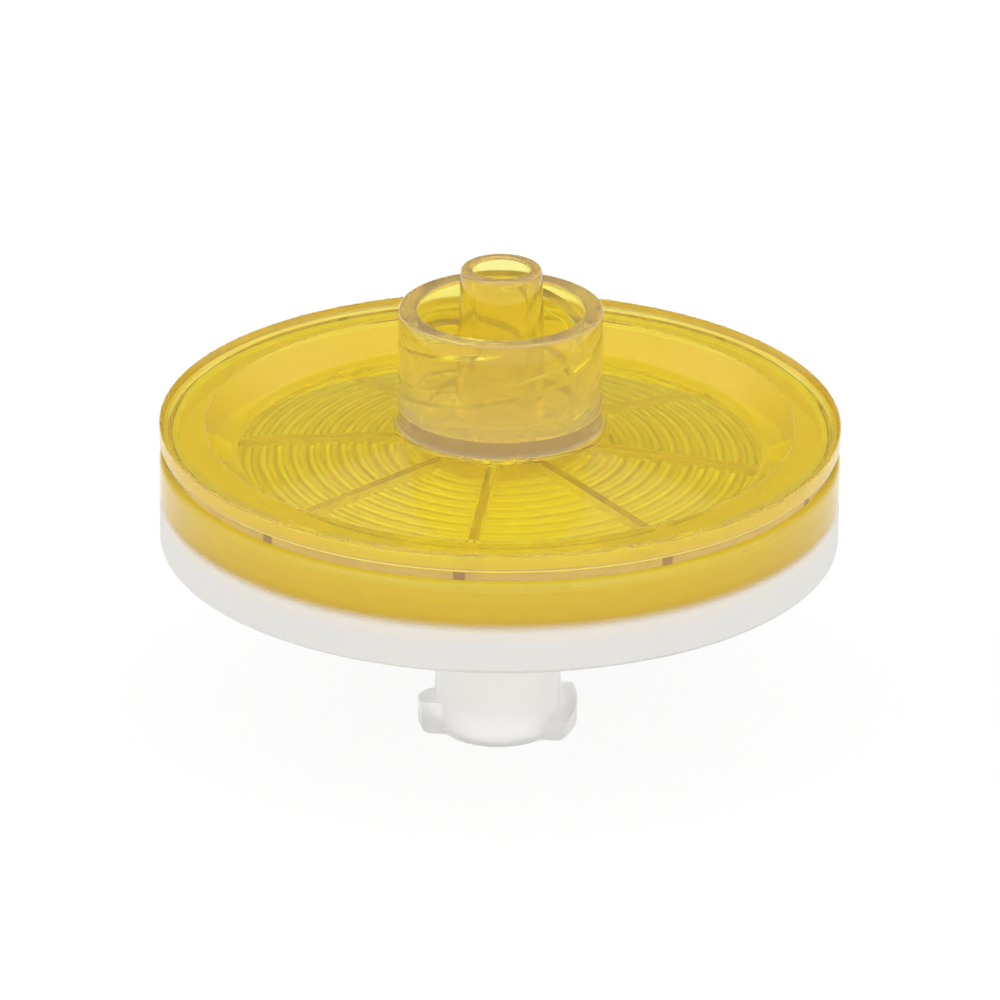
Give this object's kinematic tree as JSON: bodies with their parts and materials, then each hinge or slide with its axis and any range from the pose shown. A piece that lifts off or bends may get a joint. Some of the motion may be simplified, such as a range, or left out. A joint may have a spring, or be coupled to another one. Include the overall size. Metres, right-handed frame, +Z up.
{
  "type": "syringe filter",
  "caption": "Round disc syringe filter: a clear amber outlet half with a male taper in a locking collar, on a milky inlet half with a lugged female hub.",
  "frame": {"origin": "centre of the inlet hub's end face, on the flow axis", "axes": "+Z up the flow axis, from the inlet hub to the outlet tip; +X through one lock lug; +Y completes the right-handed frame"},
  "size_m": [0.033, 0.033, 0.0241],
  "materials": {
    "amber_plastic": "clear, moulded, glossy",
    "milky_plastic": "translucent, moulded, satin gloss",
    "membrane": "matt, porous"
  },
  "bodies": {
    "root": {"outlet_shell": "amber_plastic", "inlet_shell": "milky_plastic", "membrane": "membrane"}
  },
  "joints": []
}
